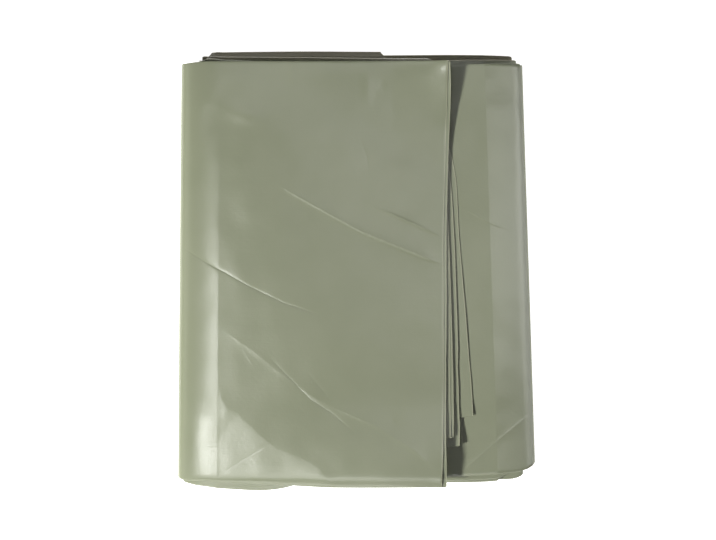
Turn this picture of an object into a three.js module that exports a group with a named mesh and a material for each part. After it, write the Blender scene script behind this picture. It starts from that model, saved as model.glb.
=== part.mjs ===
// Folded plastic sheeting. Millimetres, +Z up, the pack lies on Z = 0 with its open end to +Y.
//
// One cut length of polythene film, folded twice over. First it goes back and forth along Y into
// a strip of eight plies. Then the strip is folded along X like a letter: the base lies flat, the
// panel turns back over it at the right rim, and the flap turns over both at the left rim and
// ends on the panel, where its plies fan out. Ply 0 is the outer one all the way round.

import * as THREE from 'three';

// Driving sizes

const FILM = 1.0; // thickness of the film as built
const PLIES = 8;
const PITCH = 1.7; // from one ply to the next
const LAYER_GAP = 1.0; // air between the base, the panel and the flap
const STRIP = (PLIES - 1) * PITCH + FILM; // thickness of the folded strip

const COLOUR = 0x8f957c; // olive grey-green
const ROUGHNESS = 0.34;

// Height of the middle of the strip in each layer of the letter fold
const LEVEL = {
  base: STRIP / 2,
  panel: STRIP * 1.5 + LAYER_GAP,
  flap: STRIP * 2.5 + LAYER_GAP * 2,
};

// The rims lean a little: X of each at the two ends of the pack, and the length of its roll
const REACH = 182; // Y of the furthest fold from the middle
const LEFT_RIM = { atTop: -147, atBottom: -150.3, roll: 33 };
const RIGHT_RIM = { atTop: 139, atBottom: 150.7, roll: 31 };

// Steps along the sheet: across each layer, round each rim, along each ply and round each fold
const STEPS = { flap: 8, leftRim: 10, base: 4, rightRim: 10, panel: 5, ply: 6, fold: 3 };

// Y of each cut end and fold line of the back-and-forth fold, at named places along the letter
// fold. The folds are uneven: they fan out at the open end and draw in towards the rims.
const PLACES = [
  'flapEdge', 'flapMid', 'flapRoot', 'leftRim', 'baseLeft',
  'baseRight', 'rightRim', 'panelRoot', 'panelEdge',
];
const TOP_FOLDS = [
  [172, 172, 172, 171.5, 171, 171, 171.5, 172, 172], // cut end of ply 0
  [170, 171, 170, 169, 171, 170, 170, 171, 171], // plies 1 and 2
  [172, 173, 173, 168, 172, 172, 172, 175, 174], // plies 3 and 4
  [181, 178, 180, 170, 176, 178, 176, 179.5, 178], // plies 5 and 6
  [179, 176, 176, 169, 176, 176, 174, 176, 175], // cut end of ply 7
];
const BOTTOM_FOLDS = [
  [-179, -179, -179, -170, -172, -170, -161, -170, -171], // plies 0 and 1
  [-140, -160, -181, -171, -177, -175, -162, -174, -175], // plies 2 and 3
  [-147, -166, -181, -172, -179, -177, -165, -176, -177], // plies 4 and 5
  [-122, -150, -178, -172, -177, -176, -168, -175, -176], // plies 6 and 7
];

// X of the flap's edge at named heights along the pack, a row for each ply from 0 to 7. The inner
// plies stick out towards the bottom and draw back under the flap towards the top.
const EDGE_Y = [180, 150, 90, 30, -30, -90, -150, -180];
const FLAP_EDGE = [
  [75.5, 75, 73.5, 72, 72, 72, 71.5, 70.5],
  [77, 78, 76, 74.5, 74.5, 74, 74, 74.5],
  [75, 76, 75, 76, 77, 77.5, 78, 78],
  [62, 70, 74, 76.5, 78.5, 80, 80.5, 80.5],
  [52, 62, 76, 81, 83, 84.5, 86, 86],
  [20, 54, 75, 80.5, 82.5, 84, 85.5, 85.5],
  [20, 55, 80, 85, 90, 95, 98, 98],
  [22, 56, 79, 84, 89, 94.5, 97.5, 97.5],
];
const PANEL_CLEARANCE = 1.5; // from the panel's edge to the inside of the left rim's roll

// The flap's plies lie closer together along the middle of its edge
const SQUEEZE = { most: 0.2, halfLength: 110 };

// Soft rises and hollows of the whole pack: centre, half width each way, and share of the height
const SWELLS = [
  { x: -70, y: 60, halfX: 70, halfY: 90, rise: 0.03 },
  { x: 20, y: -50, halfX: 80, halfY: 60, rise: 0.035 },
  { x: 40, y: 110, halfX: 60, halfY: 50, rise: -0.03 },
  { x: -60, y: -120, halfX: 70, halfY: 50, rise: -0.02 },
  { x: 115, y: 20, halfX: 35, halfY: 110, rise: 0.04 },
  { x: 110, y: -150, halfX: 50, halfY: 40, rise: -0.05 },
];
const END_DROOP = 0.07; // share of the height lost at the very ends of the pack

const mix = THREE.MathUtils.lerp;

// The value at share t, from 0 to 1, of a row of evenly spaced values
function along(row, t) {
  const at = THREE.MathUtils.clamp(t, 0, 1) * (row.length - 1);
  const i = Math.min(Math.floor(at), row.length - 2);
  return mix(row[i], row[i + 1], at - i);
}

// X of the flap's edge for a ply, or for a point partway round the fold between two plies
function flapEdgeX(ply, y) {
  const last = EDGE_Y.length - 1;
  const next = EDGE_Y.findIndex((edgeY) => edgeY < y);
  const i = next < 0 ? last : Math.max(next, 1);
  const t = (i - 1 + (EDGE_Y[i - 1] - y) / (EDGE_Y[i - 1] - EDGE_Y[i])) / last;
  return along(FLAP_EDGE.map((row) => along(row, t)), ply / (PLIES - 1));
}

function rimX(rim, y) {
  return mix(rim.atBottom, rim.atTop, (y / REACH + 1) / 2);
}

// Stations along the letter fold: the layer or rim that each lies in, its share of the way along
// that, and its share of the way along the fold tables
function letterStations() {
  const runs = [
    { part: 'flap', from: 'flapEdge', to: 'flapRoot' },
    { part: 'leftRim', from: 'flapRoot', to: 'baseLeft' },
    { part: 'base', from: 'baseLeft', to: 'baseRight' },
    { part: 'rightRim', from: 'baseRight', to: 'panelRoot' },
    { part: 'panel', from: 'panelRoot', to: 'panelEdge' },
  ];
  const stations = [];
  for (const { part, from, to } of runs) {
    const [first, last] = [from, to].map((name) => PLACES.indexOf(name) / (PLACES.length - 1));
    for (let i = stations.length ? 1 : 0; i <= STEPS[part]; i += 1) {
      const share = i / STEPS[part];
      stations.push({ part, share, place: mix(first, last, share) });
    }
  }
  return stations;
}

function squeezeAt(station, y) {
  if (station.part !== 'flap') return 1;
  const towardsEdge = 1 - station.share;
  return 1 - SQUEEZE.most * towardsEdge * Math.exp(-((y / SQUEEZE.halfLength) ** 4));
}

// How far the middle of a ply lies outside the middle of the strip. A squeezed strip settles on
// its inner ply.
function plyOffset(ply, squeeze) {
  return ((PLIES - 1 - ply) * squeeze - (PLIES - 1) / 2) * PITCH;
}

// The turn of the film from one ply to the next, as points round a half circle. The film's outer
// side faces away from the turn where it comes down from ply to ply and into it where it goes up.
function foldPoints(station, ply, end, side) {
  const radius = (PITCH * squeezeAt(station, end)) / 2;
  const middle = plyOffset(ply, squeezeAt(station, end)) - radius;
  const points = [];
  for (let i = 1; i < STEPS.fold; i += 1) {
    const share = i / STEPS.fold;
    const awayY = -side * Math.sin(Math.PI * share);
    const awayN = Math.cos(Math.PI * share);
    points.push({
      y: end + radius * awayY,
      n: middle + radius * awayN,
      outY: side * awayY,
      outN: side * awayN,
      ply: ply + share,
    });
  }
  return points;
}

// One station's section of the back-and-forth fold, as points along the middle of the film: y,
// offset n out of the strip, the direction that the film's outer side faces, and the ply
function foldSection(station) {
  const tops = TOP_FOLDS.map((row) => along(row, station.place));
  const bottoms = BOTTOM_FOLDS.map((row) => along(row, station.place));
  const points = [];
  for (let ply = 0; ply < PLIES; ply += 1) {
    const goesDown = ply % 2 === 0;
    const top = tops[Math.ceil(ply / 2)];
    const bottom = bottoms[Math.floor(ply / 2)];
    const [start, end] = goesDown ? [top, bottom] : [bottom, top];
    const side = goesDown ? 1 : -1;
    for (let i = 0; i <= STEPS.ply; i += 1) {
      const y = mix(start, end, i / STEPS.ply);
      points.push({ y, n: plyOffset(ply, squeezeAt(station, y)), outY: 0, outN: side, ply });
    }
    if (ply < PLIES - 1) points.push(...foldPoints(station, ply, end, side));
  }
  return points;
}

// X of the panel's edge for a ply: inside the pack, as far into the left rim's roll as it fits
function panelEdgeX(rollX, ply) {
  const across = LEFT_RIM.roll - STRIP;
  const up = (LEVEL.flap - LEVEL.base - STRIP) / 2;
  const needed = Math.abs(plyOffset(ply, 1)) + FILM;
  return rollX + PANEL_CLEARANCE - across * Math.sqrt(1 - (needed / up) ** 2);
}

// X and Z round a rim's roll from the bottom (turn 0) to the top (turn 1), n out from the middle
// of the strip. The roll is half an ellipse between the middles of two layers.
function roundRim(rollX, away, rim, layers, turn, n) {
  const across = rim.roll - STRIP / 2 + n;
  const up = (layers.upper - layers.lower) / 2 + n;
  const angle = Math.PI * turn;
  return [
    rollX + away * across * Math.sin(angle),
    (layers.upper + layers.lower) / 2 - up * Math.cos(angle),
  ];
}

// X and Z of a point of the strip at y along the pack and n out from the middle of the strip
function onLetterFold(station, y, n, ply) {
  const leftX = rimX(LEFT_RIM, y) + LEFT_RIM.roll;
  const rightX = rimX(RIGHT_RIM, y) - RIGHT_RIM.roll;
  const { part, share } = station;
  if (part === 'flap') return [mix(flapEdgeX(ply, y), leftX, share), LEVEL.flap + n];
  if (part === 'leftRim') {
    const layers = { upper: LEVEL.flap, lower: LEVEL.base };
    return roundRim(leftX, -1, LEFT_RIM, layers, 1 - share, n);
  }
  if (part === 'base') return [mix(leftX, rightX, share), LEVEL.base - n];
  if (part === 'rightRim') {
    const layers = { upper: LEVEL.panel, lower: LEVEL.base };
    return roundRim(rightX, 1, RIGHT_RIM, layers, share, n);
  }
  return [mix(rightX, panelEdgeX(leftX, ply), share), LEVEL.panel + n];
}

// Share of the height left at a place once the pack has settled
function settle(x, y) {
  let share = 1 - END_DROOP * (y / REACH) ** 6;
  for (const swell of SWELLS) {
    const away = ((x - swell.x) / swell.halfX) ** 2 + ((y - swell.y) / swell.halfY) ** 2;
    share += swell.rise * Math.exp(-away);
  }
  return share;
}

// Corners of the film's two sides, station by station and point by point, outer side first
function filmPositions(sections, stations) {
  const positions = [];
  sections.forEach((points, row) => {
    for (const point of points) {
      for (const half of [FILM / 2, -FILM / 2]) {
        const y = point.y + half * point.outY;
        const n = point.n + half * point.outN;
        const [x, z] = onLetterFold(stations[row], y, n, point.ply);
        positions.push(x, y, z * settle(x, y));
      }
    }
  });
  return positions;
}

// Faces of the film's outer and inner sides, its two cut ends and its two cut edges
function filmFaces(rows, columns) {
  const outer = (row, column) => (row * columns + column) * 2;
  const inner = (row, column) => outer(row, column) + 1;
  const faces = [];
  const quad = (a, b, c, d) => faces.push(a, b, c, a, c, d);
  const [lastRow, lastColumn] = [rows - 1, columns - 1];
  for (let r = 0; r < lastRow; r += 1) {
    for (let c = 0; c < lastColumn; c += 1) {
      quad(outer(r, c), outer(r + 1, c), outer(r + 1, c + 1), outer(r, c + 1));
      quad(inner(r, c), inner(r, c + 1), inner(r + 1, c + 1), inner(r + 1, c));
    }
    quad(outer(r, 0), inner(r, 0), inner(r + 1, 0), outer(r + 1, 0));
    quad(
      outer(r, lastColumn), outer(r + 1, lastColumn),
      inner(r + 1, lastColumn), inner(r, lastColumn),
    );
  }
  for (let c = 0; c < lastColumn; c += 1) {
    quad(outer(0, c), outer(0, c + 1), inner(0, c + 1), inner(0, c));
    quad(outer(lastRow, c), inner(lastRow, c), inner(lastRow, c + 1), outer(lastRow, c + 1));
  }
  return faces;
}

function foldedSheetGeometry() {
  const stations = letterStations();
  const sections = stations.map(foldSection);
  const positions = filmPositions(sections, stations);
  const geometry = new THREE.BufferGeometry();
  geometry.setAttribute('position', new THREE.Float32BufferAttribute(positions, 3));
  geometry.setIndex(filmFaces(stations.length, sections[0].length));
  geometry.computeVertexNormals();
  return geometry;
}

const film = new THREE.MeshStandardMaterial({ color: COLOUR, roughness: ROUGHNESS, metalness: 0 });
const sheeting = new THREE.Mesh(foldedSheetGeometry(), film);
sheeting.name = 'folded_sheeting';

const group = new THREE.Group();
group.add(sheeting);

export default group;
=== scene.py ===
# Folded plastic sheeting: one cut length of olive polythene film, folded back and forth into a
# strip of eight plies and then twice over like a letter. It lies flat, seen from straight above.

import math

import bmesh
import bpy
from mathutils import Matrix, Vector, noise


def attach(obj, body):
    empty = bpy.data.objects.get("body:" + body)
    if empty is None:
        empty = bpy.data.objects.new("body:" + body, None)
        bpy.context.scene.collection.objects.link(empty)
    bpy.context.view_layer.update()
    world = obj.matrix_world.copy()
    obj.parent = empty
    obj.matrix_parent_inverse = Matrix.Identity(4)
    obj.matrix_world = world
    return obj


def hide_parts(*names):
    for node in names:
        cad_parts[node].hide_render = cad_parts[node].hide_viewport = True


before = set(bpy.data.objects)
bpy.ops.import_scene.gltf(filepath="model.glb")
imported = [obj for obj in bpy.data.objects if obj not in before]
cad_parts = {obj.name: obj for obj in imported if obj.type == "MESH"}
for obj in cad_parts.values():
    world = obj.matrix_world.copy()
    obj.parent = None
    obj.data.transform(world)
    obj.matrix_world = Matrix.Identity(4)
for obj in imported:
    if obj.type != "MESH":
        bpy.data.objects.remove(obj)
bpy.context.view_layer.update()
scene = bpy.context.scene

# Camera
# A long lens two metres above the pack, looking straight down, square to the surface that the
# pack lies on. The top of the frame is the pack's open end.

MM = 0.001
MM_PER_PIXEL = 0.838  # at the pack's middle height
FRAME_WIDTH = 716 * MM_PER_PIXEL * MM
SENSOR = 36.0
CAMERA_HEIGHT = 2.0
MIDDLE_HEIGHT = 0.02
FRAME_CENTRE = (0.0008, -0.0008)  # the pack lies a little off the middle of the frame

camera_data = bpy.data.cameras.new("camera")
camera_data.sensor_width = SENSOR
camera_data.lens = SENSOR * CAMERA_HEIGHT / FRAME_WIDTH
camera = bpy.data.objects.new("camera", camera_data)
camera.location = (*FRAME_CENTRE, MIDDLE_HEIGHT + CAMERA_HEIGHT)
scene.collection.objects.link(camera)
scene.camera = camera

# Plastic sheeting
# One cut length of polythene film about 0.2 mm thick. It is folded back and forth along Y into a
# strip, then the strip is folded along X: base, panel and flap. Sizes are in millimetres, and a
# place on the flat sheet is (u, v): u runs over the layers and rims of the letter fold, one unit
# each, and v over the plies and their folds, one unit each.

PLIES = 8
PITCH = 1.7  # from one ply to the next
PLY = 1.0  # what a ply takes up
LAYER_GAP = 1.0
STRIP = (PLIES - 1) * PITCH + PLY  # thickness of the folded strip
REACH = 182  # from the middle to the furthest fold

LEVEL = {
    "base": STRIP / 2,
    "panel": STRIP * 1.5 + LAYER_GAP,
    "flap": STRIP * 2.5 + LAYER_GAP * 2,
}
# X of each rim at the pack's far and near ends, how far in its roll starts and how square it is:
# 2 is an ellipse, more is squarer
LEFT_RIM = {"top": -147, "bottom": -150.3, "roll": 34, "nose": 6}
RIGHT_RIM = {"top": 139, "bottom": 150.7, "roll": 33, "nose": 2.6}
ROLL_SHOULDER = 1.15  # 2 is an ellipse, less breaks more sharply from the flat
FAR_SHOULDER = {"from": -90, "over": 240, "value": 1.75}  # the left roll gets softer along Y
ROLL_CLEARANCE = 1.0  # between the left roll's inside and the panel's plies
PANEL_INSET = 1.5  # of the panel's edge from where the roll is hollow

# Y of each cut end and fold line where u has these values: the flap's edge, two places on it and
# its root, four places on the left rim, the base's left and right, two on the right rim, the
# panel's root, where it goes under the flap, and its edge
FOLD_U = (0, 0.5, 0.75, 1, 1.08, 1.125, 1.22, 1.5, 2, 3, 3.5, 3.75, 4, 4.2, 5)
TOP_FOLDS = (  # cut end of ply 0, the outermost, folds 1 to 2, 3 to 4, 5 to 6, cut end of ply 7
    (173.3, 172.8, 172.7, 172.6, 172.5, 172.2, 171.2, 170, 170, 170, 171, 171,
     171.3, 170.4, 170),
    (171.5, 171, 171.2, 173.4, 174.4, 171.5, 169.5, 168.5, 169, 170, 171.5, 171.5,
     170.5, 169.5, 169.5),
    (174, 175.5, 176, 176.3, 176.4, 171, 169.5, 168, 170, 171, 174.3, 174.5,
     174.5, 174, 174),
    (181.5, 181.7, 181.4, 181, 180.4, 172, 170, 169, 172, 174, 177.5, 178.5,
     179, 179.2, 178),
    (178, 178, 178.5, 178.8, 178.2, 171.4, 169.5, 168, 170, 172, 175, 176,
     176.5, 176.5, 176),
)
BOTTOM_FOLDS = (  # folds from ply 0 to 1, 2 to 3, 4 to 5 and 6 to 7
    (-181, -180.8, -178.4, -176.7, -176.2, -175.8, -175, -171.5, -172, -170, -161.5, -168.3,
     -170.7, -173.3, -176),
    (-140, -160, -178.8, -181.3, -180.3, -179.5, -178, -172, -176, -175, -161, -167.3, -174.5,
     -176.8, -178),
    (-147, -166, -182.7, -182.4, -181.4, -180.5, -179, -173, -178, -177, -162, -168, -176.8,
     -178.2, -179),
    (-122, -150, -176, -179, -179, -179, -178, -172.5, -177, -176, -171.5, -175.3, -176,
     -177.5, -178),
)

# X of the flap's edge at these heights along the pack, a row for each ply
EDGE_Y = (180, 150, 90, 30, -30, -90, -150, -180)
FLAP_EDGE = (
    (75.5, 75, 73.5, 72, 72, 72, 71.5, 70.5),
    (77, 78, 76, 74.5, 74.5, 74, 74, 74.5),
    (75, 76, 75, 76, 77, 77.5, 78, 78),
    (62, 70, 74, 76.5, 78.5, 80, 80.5, 80.5),
    (52, 62, 76, 81, 83, 84.5, 86, 86),
    (20, 54, 75, 80.5, 82.5, 84, 85.5, 85.5),
    (20, 55, 80, 85, 90, 95, 98, 98),
    (22, 56, 79, 84, 89, 94.5, 97.5, 97.5),
)
# Height of each ply of the flap's edge over the panel where it is pressed down, and how much
# higher or lower it stands at places along the pack
PRESSED = (6.6, 6.2, 4.6, 4.2, 2.3, 1.9, 1.0, 0.5)
LIFT_Y = (185, 165, 140, 115, 90, 30, -60, -95, -115, -130, -150, -185)
LIFT = (2.0, 1.9, 1.2, 0.65, 0.5, 0.7, 0.95, 0.98, 1.07, 1.38, 1.85, 1.95)
CURLS = (  # ply, X and Y of the place where it curls up, how far round it and how high
    (0, 76, 172, 7, 1.2),
    (1, 77, 170, 9, 1.6),
    (4, 85, -146, 5, 1.5),
    (2, 79, -138, 4, 0.8),
    (6, 97, -121, 5, 0.9),
)
THINNING = {"from": -100, "to": 74, "power": 1.5}  # where the flap gets thinner to its edge
# The flap's inner edges wave a little towards the near end, each in its own way
EDGE_WAVE = {"length": 17, "height": 0.7, "from": 60, "over": 160, "apart": 3.1}

SWELLS = (  # centre, half width each way and share of the height
    (-70, 60, 70, 90, 0.03),
    (20, -50, 80, 60, 0.035),
    (40, 110, 60, 50, -0.03),
    (-60, -120, 70, 50, -0.02),
    (115, 20, 35, 110, 0.04),
    (20, -180, 90, 36, 0.08),
    (110, -150, 50, 40, -0.05),
)
END_DROOP = 0.07  # share of the height lost at both ends, less right of the flap
END_DROOP_RIGHT = {"from": 60, "over": 30, "share": 0.025}
DROOP_POWER = 6
FAR_SAG = {"from": 173, "over": 9, "share": 0.3}  # fold lines that stick out hang down
NEAR_SAG = {"from": 173, "over": 9, "share": 0.05}
SAG_POWER = 1.4


def mix(a, b, t):
    return a + (b - a) * t


def clamp(t):
    return min(max(t, 0.0), 1.0)


def within(band, place):
    """How far a place lies into a band, from 0 where it starts to 1 at its end."""
    return clamp((place - band["from"]) / band["over"])


def along(row, t):
    """The value at share t of a smooth curve through evenly spaced values."""
    at = clamp(t) * (len(row) - 1)
    i = min(int(at), len(row) - 2)
    t = at - i
    a, b = row[max(i - 1, 0)], row[i]
    c, d = row[i + 1], row[min(i + 2, len(row) - 1)]
    rise, fall = (c - a) / 2, (d - b) / 2
    return (
        b * (1 + 2 * t) * (1 - t) ** 2
        + c * t * t * (3 - 2 * t)
        + rise * t * (1 - t) ** 2
        - fall * t * t * (1 - t)
    )


def share_of(places, y):
    """Where y lies between unevenly spaced places, as a share of their count."""
    last = len(places) - 1
    for i in range(last):
        if y > places[i + 1] or i == last - 1:
            step = (places[i] - y) / (places[i] - places[i + 1])
            return clamp((i + step) / last)


def flap_edge_x(ply, y):
    """X of the flap's edge, for a ply or partway round the fold between two."""
    t = share_of(EDGE_Y, y)
    k = min(int(ply), PLIES - 2)
    x = mix(along(FLAP_EDGE[k], t), along(FLAP_EDGE[k + 1], t), ply - k)
    place = Vector((y / EDGE_WAVE["length"], k * EDGE_WAVE["apart"], 0))
    wave = noise.noise(place) * EDGE_WAVE["height"]
    return x + wave * clamp(k / 2) * clamp((EDGE_WAVE["from"] - y) / EDGE_WAVE["over"])


def rim_x(rim, y):
    return mix(rim["bottom"], rim["top"], (y / REACH + 1) / 2)


def layer_of(u):
    """The layer or rim at u, and the share of the way along it."""
    part = min(int(u), 4)
    return ("flap", "left_rim", "base", "right_rim", "panel")[part], u - part


def fold_place(u):
    """u as a share of the places that the fold tables have."""
    return share_of([-place for place in FOLD_U], -u)


def even_offset(ply):
    return (PLIES - 1 - 2 * ply) / 2 * PITCH


def ply_offset(layer, ply, x, y):
    """How far a ply lies outside the middle of its strip."""
    if layer != "flap":
        return even_offset(ply)
    weight = clamp((x - THINNING["from"]) / (THINNING["to"] - THINNING["from"]))
    pressed = PRESSED[ply] * along(LIFT, share_of(LIFT_Y, y))
    panel_top = LEVEL["panel"] + even_offset(0) - LEVEL["flap"]
    return mix(even_offset(ply), panel_top + pressed, weight ** THINNING["power"])


def layer_x(layer, share, ply, y):
    """X in the flat layers of the letter fold."""
    left = rim_x(LEFT_RIM, y) + LEFT_RIM["roll"]
    right = rim_x(RIGHT_RIM, y) - RIGHT_RIM["roll"]
    if layer == "flap":
        return mix(flap_edge_x(ply, y), left, share)
    if layer == "base":
        return mix(left, right, share)
    # The panel's plies end inside the left roll, as far in as its hollow is high enough.
    across = LEFT_RIM["roll"] - STRIP
    up = (LEVEL["flap"] - LEVEL["base"] - STRIP) / 2
    needed = min(abs(even_offset(ply)) + ROLL_CLEARANCE, up)
    inside = left + PANEL_INSET - across * math.sqrt(1 - (needed / up) ** 2)
    return mix(right, inside, share)


def round_rim(rim, away, lower, upper, turn, y, n):
    """X and Z round a rim from its bottom (turn 0) to its top (turn 1), n out of the strip."""
    roll_x = rim_x(rim, y) - away * rim["roll"]
    across = rim["roll"] - STRIP / 2 + n
    up = (upper - lower) / 2 + n
    height = -math.cos(math.pi * turn)
    far = within(FAR_SHOULDER, y) if away < 0 else 0
    shoulder = mix(ROLL_SHOULDER, FAR_SHOULDER["value"], far)
    out = max(1 - abs(height) ** rim["nose"], 0) ** (1 / shoulder)
    return roll_x + away * across * out, (upper + lower) / 2 + up * height


def sag(end, y):
    """Share of the height lost beyond an end's last well-held place."""
    return end["share"] * within(end, y) ** SAG_POWER


def settle(x, y):
    """Share of the height left at a place once the pack has settled."""
    droop = mix(END_DROOP, END_DROOP_RIGHT["share"], within(END_DROOP_RIGHT, x))
    share = 1 - droop * (y / REACH) ** DROOP_POWER - sag(FAR_SAG, y) - sag(NEAR_SAG, -y)
    for cx, cy, half_x, half_y, rise in SWELLS:
        away = ((x - cx) / half_x) ** 2 + ((y - cy) / half_y) ** 2
        share += rise * math.exp(-away)
    return share


def folded(u, v):
    """Where the place (u, v) of the flat sheet comes to lie."""
    ply = min(int(v / 2), PLIES - 1)
    t = v - 2 * ply
    place = fold_place(u)
    top = along(TOP_FOLDS[(ply + 1) // 2], place)
    bottom = along(BOTTOM_FOLDS[min(ply // 2, 3)], place)
    start, end = (top, bottom) if ply % 2 == 0 else (bottom, top)
    side = 1 if ply % 2 == 0 else -1
    layer, share = layer_of(u)
    flat = layer in ("flap", "base", "panel")
    part_ply = ply + clamp(t - 1)
    y = mix(start, end, clamp(t))
    x = layer_x(layer, share, part_ply, y) if flat else 0
    n = ply_offset(layer, ply, x, y)
    if t > 1:
        radius = (n - ply_offset(layer, ply + 1, x, y)) / 2
        n += radius * (math.cos(math.pi * (t - 1)) - 1)
        y -= side * radius * math.sin(math.pi * (t - 1))
    if layer == "left_rim":
        x, z = round_rim(LEFT_RIM, -1, LEVEL["base"], LEVEL["flap"], 1 - share, y, n)
    elif layer == "right_rim":
        x, z = round_rim(RIGHT_RIM, 1, LEVEL["base"], LEVEL["panel"], share, y, n)
    else:
        z = LEVEL[layer] + (n if layer != "base" else -n)
        if layer == "flap":
            for curled, cx, cy, radius, rise in CURLS:
                if curled == ply:
                    z += rise * math.exp(-(math.dist((x, y), (cx, cy)) / radius) ** 2)
    return Vector((x, y, z * settle(x, y)))


# The flat sheet is a grid with closer lines where it turns. Its outer ply is divided finer where
# it shows, then every point is folded into place.

LAYER_LENGTHS = (193, 67, 240, 64, 240)  # along the letter fold, one for each unit of u
PLY_LENGTH = 350
FOLD_LENGTH = 2.7  # half round from one ply to the next


def stops(start, end, count):
    return [mix(start, end, i / count) for i in range(count)]


# u where each part starts and how many strips it has, then the rows of a ply and of a fold
U_PARTS = ((0, 30), (1, 8), (1.3, 10), (2, 4), (3, 16), (4, 8), (4.2, 4), (5, 0))
OUTER_PLY_ROWS, PLY_ROWS, FOLD_ROWS = 54, 20, 4

u_stops = []
for (start, count), (end, _) in zip(U_PARTS, U_PARTS[1:]):
    u_stops += stops(start, end, count)
u_stops.append(5.0)
v_stops = []
for ply in range(PLIES):
    v_stops += stops(2 * ply, 2 * ply + 1, OUTER_PLY_ROWS if ply == 0 else PLY_ROWS)
    if ply < PLIES - 1:
        v_stops += stops(2 * ply + 1, 2 * ply + 2, FOLD_ROWS)
v_stops.append(2 * PLIES - 1.0)

bm = bmesh.new()
bmesh.ops.create_grid(
    bm, x_segments=len(u_stops) - 1, y_segments=len(v_stops) - 1, size=1
)
bm.verts.ensure_lookup_table()
for i, vert in enumerate(bm.verts):
    vert.co = (u_stops[i % len(u_stops)], v_stops[i // len(u_stops)], 0)

OUTER_V = 1.01  # just past the end of the outer ply
LEFT_HALF, RIGHT_HALF = 1.55, 3.45  # u about halfway round the rims
PANEL_HIDDEN = 4.2  # u where the panel goes under the flap


def shows(points):
    """True for the outer ply on the pack's top and rims."""
    u = sum(p.co.x for p in points) / len(points)
    v = sum(p.co.y for p in points) / len(points)
    return v < OUTER_V and (u < LEFT_HALF or RIGHT_HALF < u < PANEL_HIDDEN)


bmesh.ops.subdivide_edges(
    bm, edges=[e for e in bm.edges if shows(e.verts)], cuts=2, use_grid_fill=True
)


def flat_place(u, v):
    """Millimetres across and along the flat sheet."""
    part = min(int(u), 4)
    across = sum(LAYER_LENGTHS[:part]) + LAYER_LENGTHS[part] * (u - part)
    ply = min(int(v / 2), PLIES - 1)
    t = v - 2 * ply
    length = ply * (PLY_LENGTH + FOLD_LENGTH) + PLY_LENGTH * clamp(t)
    return across, length + FOLD_LENGTH * clamp(t - 1)


uv = bm.loops.layers.uv.new("flat sheet")
outer = bm.faces.layers.int.new("outer ply")
for face in bm.faces:
    face[outer] = shows(face.verts)
    for loop in face.loops:
        across, length = flat_place(loop.vert.co.x, loop.vert.co.y)
        loop[uv].uv = (across * MM, length * MM)
for vert in bm.verts:
    vert.co = folded(vert.co.x, vert.co.y)

# Creases and dents of the outer ply: points along each in X and Y, the height of
# its crest (below zero a trough) and its half width. They are cut into the mesh, so that its
# edges run along them.

CREASES = (
    (((-145, 18), (-126, 6), (-111, -2), (-90, -14), (-61, -28), (-31, -38)), -0.3, 0.9),
    (((-64, 69), (-56, 64), (2, 32), (71, 4)), 0.7, 2.0),
    (((14, 52), (42, 40), (71, 27)), 0.42, 1.1),
    (((11, 56), (14, 52)), 0.2, 1.0),
    (((49, 83), (70, 89)), 0.1, 0.8),
    (((2, 111), (8, 94), (10, 79)), -0.16, 1.2),
    (((-111, -51), (-85, -69), (-67, -84), (-39, -105), (-22, -114)), 0.22, 2.4),
    (((-22, -114), (17, -131), (44, -148), (67, -167)), 0.42, 2.2),
    (((-72, -74), (-39, -108), (-22, -119), (-2, -136)), -0.22, 1.2),
    (((-41, -86), (-22, -109)), -0.16, 1.4),
    (((-94, -68), (-86, -81)), 0.2, 0.8),
    (((-113, -170), (-91, -156), (-71, -145)), -0.14, 0.6),
    (((85, 53), (114, 37), (132, 31)), 0.2, 0.8),
    (((148, -121), (139, -126), (114, -146), (86, -171)), 0.18, 1.0),
)
CREASE_FADE = 16.0  # over this length a crease dies out at its ends
CREASE_END = 0.15  # share of its height that is left there
CREASE_REACH = 4  # half widths, beyond them nothing of it is left
TOP_FROM = 18  # height above which the outer ply is creased
GENTLE = 3.0  # times wider on a crest's left as its points run
CREASE_CUTS = (-1.5, -0.5, 0, 0.5, 1.5)  # where they are cut, in half widths
# Faces so near a crease are cut, so far past its ends, and vertices so near a cut aren't split
CUT_REACH, CUT_BEYOND, CUT_SNAP = 4.5, 1, 0.01
DENTS = (  # centre, half width each way and depth
    (-114, 124, 12, 14, 0.5),
    (-100, 158, 15, 9, -0.35),
    (-54, 162, 3, 6, -0.5),
    (9, 152, 4, 14, -0.45),
    (21, 153, 3, 4, 0.4),
    (-92, 128, 14, 8, -0.7),
    (30, -126, 3, 3, 0.3),
)
DENT_REACH = 3  # half widths
# Beyond these lines the pack is pressed down, by this share of its height for each millimetre:
# the corner over the left roll and the far end
PRESSED_ENDS = (
    {
        "line": (
            (-150, -94), (-115, -95), (-112, -108), (-107, -116), (-99, -119), (-92, -127),
            (-82, -136), (-66, -149), (-45, -157), (-32, -164), (-20, -180),
        ),
        "fall": 0.002,
        "break": 2.0,
    },
    {
        "line": (
            (76, 78), (19, 87), (-14, 100), (-48, 108), (-79, 114), (-98, 125), (-115, 136),
        ),
        "fall": 0.0013,
        "break": 5.0,
    },
)
ROLL_LINE = -115  # X where the left roll starts, over it they go straight on
FLAP_HELD = {"from": 80, "over": 50}  # towards its edge the flap lies on the panel
UNEVEN = ((42, 0.35), (18, 0.2))  # size and height of the film's own unevenness


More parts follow.
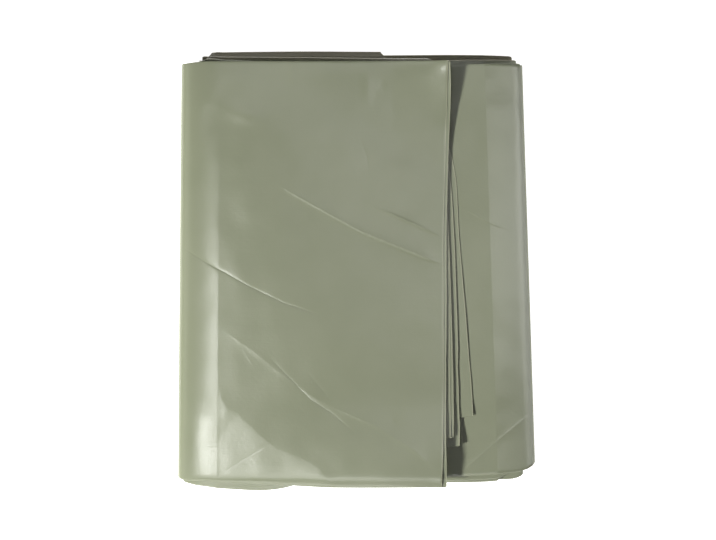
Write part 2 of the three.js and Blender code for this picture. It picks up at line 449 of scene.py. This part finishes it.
def near(points, x, y):
    """Distance from (x, y) to a line of points, on which side, and how far from its ends."""
    best, side, best_end, run = 1e9, 1, 0.0, 0.0
    total = sum(math.dist(a, b) for a, b in zip(points, points[1:]))
    for (ax, ay), (bx, by) in zip(points, points[1:]):
        length = math.dist((ax, ay), (bx, by))
        t = clamp(((x - ax) * (bx - ax) + (y - ay) * (by - ay)) / length**2)
        away = math.dist((x, y), (mix(ax, bx, t), mix(ay, by, t)))
        if away < best:
            best, best_end = away, min(run + t * length, total - run - t * length)
            side = 1 if (bx - ax) * (y - ay) - (by - ay) * (x - ax) > 0 else -1
        run += length
    return best, side, best_end


def relief(x, y):
    """How far the outer ply stands up or down at its creases and dents."""
    height = 0.0
    for points, crest, half_width in CREASES:
        reach = CREASE_REACH * half_width * GENTLE
        if not min(p[0] for p in points) - reach < x < max(p[0] for p in points) + reach:
            continue
        away, side, end = near(points, x, y)
        if crest > 0 and side > 0:
            away /= GENTLE
        if away < CREASE_REACH * half_width:
            fade = mix(CREASE_END, 1, clamp(end / CREASE_FADE))
            height += crest * fade * math.exp(-away / half_width)
    for cx, cy, half_x, half_y, depth in DENTS:
        away = ((x - cx) / half_x) ** 2 + ((y - cy) / half_y) ** 2
        if away < DENT_REACH**2:
            height -= depth * math.exp(-away)
    flat = clamp((x - rim_x(LEFT_RIM, y)) / LEFT_RIM["roll"])
    for size, rise in UNEVEN:
        height += rise * flat * noise.noise(Vector((x / size, y / size, size)))
    return height


def pressed_share(x, y):
    """Share of the height that the pressed ends lose."""
    share = 0.0
    for end in PRESSED_ENDS:
        away, side, _ = near(end["line"], max(x, ROLL_LINE), y)
        if side < 0:
            share += end["fall"] * away * away / (away + end["break"])
    return share * clamp((FLAP_HELD["from"] - x) / FLAP_HELD["over"])


def cut_along(points, half_width):
    """Cuts the outer ply along a line of points and beside it."""
    for (ax, ay), (bx, by) in zip(points, points[1:]):
        run = Vector((bx - ax, by - ay, 0))
        across = Vector((-run.y, run.x, 0)).normalized()
        start = Vector((ax, ay, 0))
        ahead = run.normalized()
        faces = []
        for face in bm.faces:
            if face[outer]:
                place = face.verts[0].co - start
                beside = abs(place.dot(across)) < CUT_REACH
                if beside and -CUT_BEYOND < place.dot(ahead) < run.length + CUT_BEYOND:
                    faces.append(face)
        edges = {e for f in faces for e in f.edges}
        verts = {v for f in faces for v in f.verts}
        cut = faces + list(edges) + list(verts)
        for step in CREASE_CUTS:
            cut = bmesh.ops.bisect_plane(
                bm,
                geom=cut,
                dist=CUT_SNAP,
                plane_co=start + across * step * half_width,
                plane_no=across,
            )["geom"]


for points, crest, half_width in CREASES:
    cut_along(points, half_width)
cut_along(PRESSED_ENDS[0]["line"], PRESSED_ENDS[0]["break"] / 2)

for vert in {v for f in bm.faces if f[outer] for v in f.verts}:
    if vert.co.z > TOP_FROM:
        vert.co.z += relief(vert.co.x, vert.co.y)
for vert in bm.verts:
    vert.co.z *= 1 - pressed_share(vert.co.x, vert.co.y)

# The film gets its thickness, drawn a little more than the real one. Normals are weighted by
# face, so that its cut edges stay crisp.

FILM = 0.3

lowest = min(vert.co.z for vert in bm.verts) - FILM / 2
bmesh.ops.translate(bm, vec=(0, 0, -lowest), verts=bm.verts)
bmesh.ops.scale(bm, vec=(MM, MM, MM), verts=bm.verts)
bmesh.ops.recalc_face_normals(bm, faces=bm.faces)

sheet_mesh = bpy.data.meshes.new("plastic_sheeting")
bm.to_mesh(sheet_mesh)
bm.free()
sheet_mesh.shade_smooth()
sheeting = bpy.data.objects.new("plastic_sheeting", sheet_mesh)
scene.collection.objects.link(sheeting)
thickness = sheeting.modifiers.new("film thickness", "SOLIDIFY")
thickness.thickness = FILM * MM
thickness.offset = 0
crisp = sheeting.modifiers.new("crisp cut edges", "WEIGHTED_NORMAL")
crisp.mode = "FACE_AREA"
crisp.weight = 100

# Blown polythene film, pigmented olive grey-green. The surface is semi-gloss and a little milky.


def linear(hex_colour):
    """An sRGB hex colour as linear RGBA."""
    channels = [int(hex_colour[i : i + 2], 16) / 255 for i in (0, 2, 4)]
    return [
        c / 12.92 if c <= 0.04045 else ((c + 0.055) / 1.055) ** 2.4 for c in channels
    ] + [1.0]


def add_node(tree, kind, settings=(), links=()):
    """Adds a node, sets its properties and sockets by name, and links its inputs."""
    node = tree.nodes.new(kind)
    for name, value in dict(settings).items():
        if name in node.inputs:
            node.inputs[name].default_value = value
        else:
            setattr(node, name, value)
    for name, source in dict(links).items():
        tree.links.new(source, node.inputs[name])
    return node


film_material = bpy.data.materials.new("blown_polythene_film")
film_material.use_nodes = True
tree = film_material.node_tree
tree.nodes.clear()
CLOUD_MM = 60  # milky clouds in the film
STREAK_MM = (45, 1.6)  # fine wrinkles across the sheet, their length and spacing
GRAIN_MM = 3
EDGE_MM = 0.8  # over this width the cut edge is painted paler, a painted highlight for the light it catches
EDGE_HIGHLIGHT = 0.6
FAR_FOLDS_MM = (173.8, 175.2)  # Y where the far folds begin, painted browner than the rest as painted shade
FAR_FOLDS_SHADE_TINT = 0.7
STREAK_DEPTH_MM, GRAIN_DEPTH_MM = 0.03, 0.06
ROUGHNESS = (0.19, 0.27)

place = add_node(tree, "ShaderNodeTexCoord").outputs["Object"]
sheet_place = add_node(tree, "ShaderNodeUVMap", {"uv_map": "flat sheet"}).outputs["UV"]
clouds = add_node(
    tree, "ShaderNodeTexNoise", {"Scale": 1000 / CLOUD_MM, "Detail": 3.0}, {"Vector": place}
)
tint = add_node(
    tree, "ShaderNodeMix", {"data_type": "RGBA"}, {"Factor": clouds.outputs["Fac"]}
)
# A Mix node's sockets share their names, so its colours A, B and the result go by number.
tint.inputs[6].default_value = linear("82876e")
tint.inputs[7].default_value = linear("8e927b")

across = add_node(tree, "ShaderNodeSeparateXYZ", links={"Vector": sheet_place}).outputs["X"]
# Painted highlight: the film is painted paler towards the flap's cut edge, for the light that
# the edge catches and lets out.
edge_highlight_share = add_node(
    tree,
    "ShaderNodeMapRange",
    {"From Min": 0.0, "From Max": EDGE_MM * MM, "To Min": EDGE_HIGHLIGHT, "To Max": 0.0},
    {"Value": across},
).outputs["Result"]
edge_highlighted = add_node(tree, "ShaderNodeMix", {"data_type": "RGBA"}, {"Factor": edge_highlight_share})
tree.links.new(tint.outputs[2], edge_highlighted.inputs[6])
edge_highlighted.inputs[7].default_value = linear("c8c8a8")

# Painted shade: the folds at the far end get a browner tint, the colour of their shade.
far = add_node(tree, "ShaderNodeSeparateXYZ", links={"Vector": place}).outputs["Y"]
far_fold_shade_share = add_node(
    tree,
    "ShaderNodeMapRange",
    {
        "From Min": FAR_FOLDS_MM[0] * MM,
        "From Max": FAR_FOLDS_MM[1] * MM,
        "To Min": 0.0,
        "To Max": FAR_FOLDS_SHADE_TINT,
    },
    {"Value": far},
).outputs["Result"]
far_fold_shaded = add_node(tree, "ShaderNodeMix", {"data_type": "RGBA"}, {"Factor": far_fold_shade_share})
tree.links.new(edge_highlighted.outputs[2], far_fold_shaded.inputs[6])
far_fold_shaded.inputs[7].default_value = linear("8c8470")

streak_place = add_node(
    tree,
    "ShaderNodeMapping",
    {"Scale": (1000 / STREAK_MM[0], 1000 / STREAK_MM[1], 1.0)},
    {"Vector": sheet_place},
).outputs["Vector"]
streaks = add_node(
    tree, "ShaderNodeTexNoise", {"Scale": 1.0, "Detail": 2.0}, {"Vector": streak_place}
)
grain = add_node(
    tree, "ShaderNodeTexNoise", {"Scale": 1000 / GRAIN_MM, "Detail": 4.0}, {"Vector": place}
)
streak_bump = add_node(
    tree,
    "ShaderNodeBump",
    {"Strength": 1.0, "Distance": STREAK_DEPTH_MM * MM},
    {"Height": streaks.outputs["Fac"]},
)
film_bump = add_node(
    tree,
    "ShaderNodeBump",
    {"Strength": 1.0, "Distance": GRAIN_DEPTH_MM * MM},
    {"Height": grain.outputs["Fac"], "Normal": streak_bump.outputs["Normal"]},
)
gloss = add_node(
    tree,
    "ShaderNodeMapRange",
    {"To Min": ROUGHNESS[0], "To Max": ROUGHNESS[1]},
    {"Value": clouds.outputs["Fac"]},
).outputs["Result"]
film = add_node(
    tree,
    "ShaderNodeBsdfPrincipled",
    {"IOR": 1.51},
    {
        "Base Color": far_fold_shaded.outputs[2],
        "Roughness": gloss,
        "Normal": film_bump.outputs["Normal"],
    },
)
add_node(tree, "ShaderNodeOutputMaterial", links={"Surface": film.outputs["BSDF"]})
sheet_mesh.materials.append(film_material)

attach(sheeting, "root")
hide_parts("folded_sheeting")

# Floor and light
# A plain pale studio floor, bright enough to look white. A softbox at the left and the near end
# lights the film, two weak ones open its shadows, and cards over it are mirrored in its gloss.
# The floor is matt white card that also glows, so that no shadow greys it.

FLOOR_SIZE = 6.0

floor_mesh = bpy.data.meshes.new("floor")
bm = bmesh.new()
bmesh.ops.create_grid(bm, x_segments=1, y_segments=1, size=FLOOR_SIZE / 2)
bm.to_mesh(floor_mesh)
bm.free()
floor = bpy.data.objects.new("floor", floor_mesh)
scene.collection.objects.link(floor)
floor_material = bpy.data.materials.new("white_card")
floor_material.use_nodes = True
card = floor_material.node_tree.nodes["Principled BSDF"]
card.inputs["Base Color"].default_value = linear("f4f4f2")
card.inputs["Roughness"].default_value = 0.9
card.inputs["Emission Color"].default_value = (1, 1, 1, 1)
card.inputs["Emission Strength"].default_value = 1.0
floor_mesh.materials.append(floor_material)

# Softboxes: place, size across and along, power, and whether one lights the film as well or is
# a card that is only mirrored in its gloss
LIGHTS = {
    "key": ((-1.38, -0.77, 1.14), (0.25, 0.25), 56, True),
    "low_right": ((1.8, 0.1, 0.45), (0.4, 1.2), 11, True),
    "far_fill": ((0.2, 1.7, 0.3), (1.2, 0.4), 3.5, True),
    "left_near_card": ((-0.52, -0.5, 1.4), (0.16, 0.16), 3.2, False),
    "left_card": ((-0.43, -0.4, 1.5), (0.2, 0.2), 0.6, False),
    "left_middle_card": ((-0.43, -0.15, 1.5), (0.3, 0.16), 3, False),
    "left_far_card": ((-0.45, 0.15, 1.5), (0.3, 0.2), 0.3, False),
    "left_low_card": ((-1.15, 0.0, 0.9), (1.4, 0.4), 1.5, False),
    "near_card": ((-0.1, -0.5, 1.6), (0.8, 0.3), 0.5, False),
    "near_edge_card": ((-0.15, -0.76, 1.45), (0.9, 0.36), 5, False),
    "far_card": ((-0.05, 0.6, 1.55), (0.6, 0.35), 1.4, False),
    "far_middle_card": ((0.24, 0.3, 1.55), (0.3, 0.26), 0.45, False),
    "right_card": ((0.6, 0.03, 1.5), (0.24, 1.4), 1.15, False),
    "right_side_card": ((1.05, 0.14, 1.35), (0.62, 1.5), 8.5, False),
    "right_low_card": ((1.7, 0.0, 0.6), (0.8, 1.6), 12, False),
    "near_low_card": ((0.0, -1.2, 0.8), (1.4, 0.3), 6, False),
    "far_low_card": ((-0.1, 1.2, 0.8), (1.2, 0.3), 2, False),
}
for name, (location, size, power, lit) in LIGHTS.items():
    data = bpy.data.lights.new(name, "AREA")
    data.shape = "RECTANGLE"
    data.size, data.size_y = size
    data.energy = power
    light = bpy.data.objects.new(name, data)
    light.location = location
    light.rotation_mode = "QUATERNION"
    light.rotation_quaternion = (-Vector(location)).to_track_quat("-Z", "Y")
    light.visible_diffuse = lit
    light.visible_glossy = not lit
    scene.collection.objects.link(light)

world = bpy.data.worlds.new("studio")
scene.world = world
world.use_nodes = True
sky = world.node_tree.nodes["Background"]
sky.inputs["Color"].default_value = (1, 1, 1, 1)
sky.inputs["Strength"].default_value = 0.02

scene.view_settings.view_transform = "Standard"
